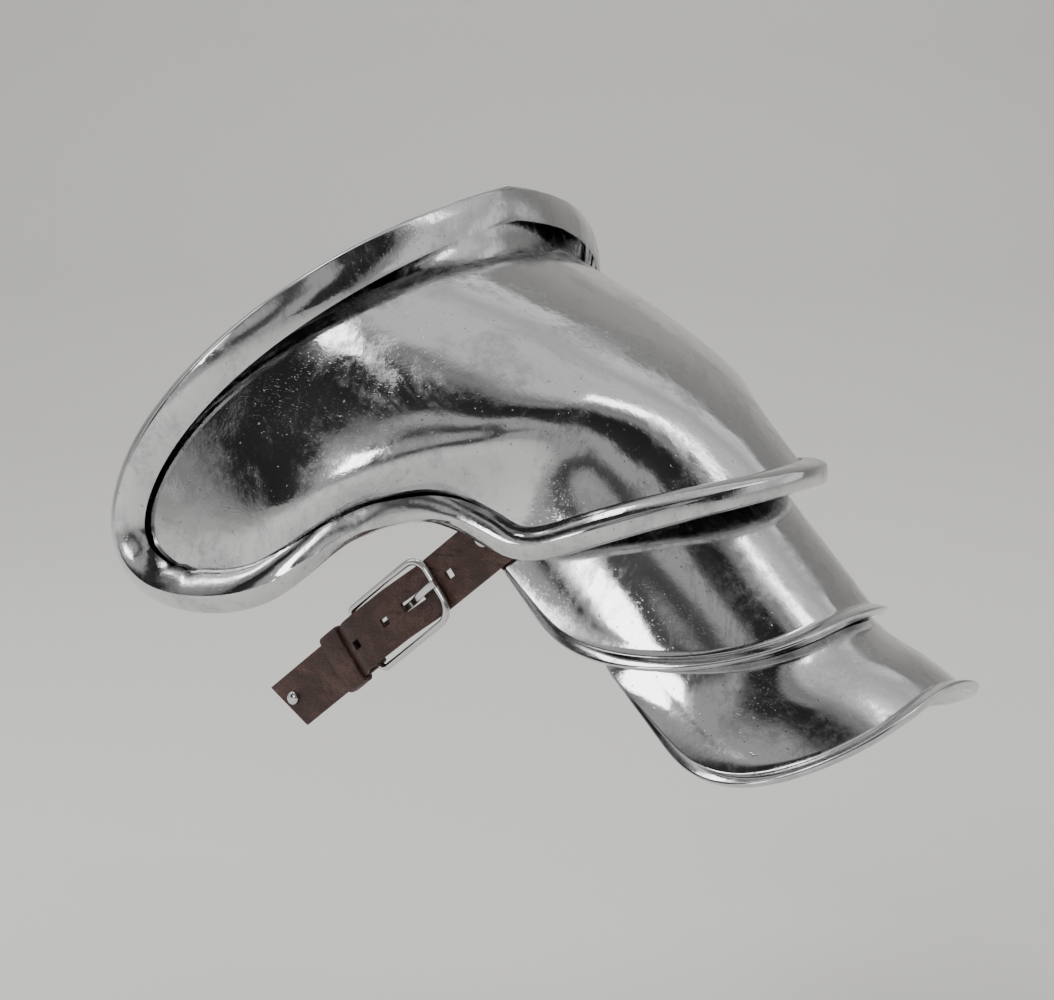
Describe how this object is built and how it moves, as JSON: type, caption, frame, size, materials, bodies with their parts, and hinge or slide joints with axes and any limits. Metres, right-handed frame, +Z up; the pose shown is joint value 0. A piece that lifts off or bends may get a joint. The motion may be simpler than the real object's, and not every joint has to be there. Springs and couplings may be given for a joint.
{
  "type": "pauldron",
  "caption": "Steel shoulder armour: a winged cap with a rolled border, overlapping arm lames and a buckled leather strap in front",
  "frame": {"origin": "where the shoulder bears, on the inner face of the cap under its ridge", "axes": "+Z up, +X from the neck to the arm, -Y the front, where the strap is; the ridge of the cap lies in the XZ plane"},
  "size_m": [0.3329, 0.3144, 0.2433],
  "materials": {
    "steel": "polished, smudged and lightly scratched",
    "leather": "satin"
  },
  "bodies": {
    "root": {"main_plate": "steel", "upper_lame": "steel", "lower_lame": "steel", "buckle_frame": "steel", "buckle_prong": "steel", "strap_rivet": "steel", "end_stud": "steel", "crown_leather": "leather", "front_leather": "leather", "back_leather": "leather", "strap_billet": "leather", "strap_anchor": "leather", "strap_keeper": "leather"}
  },
  "joints": []
}
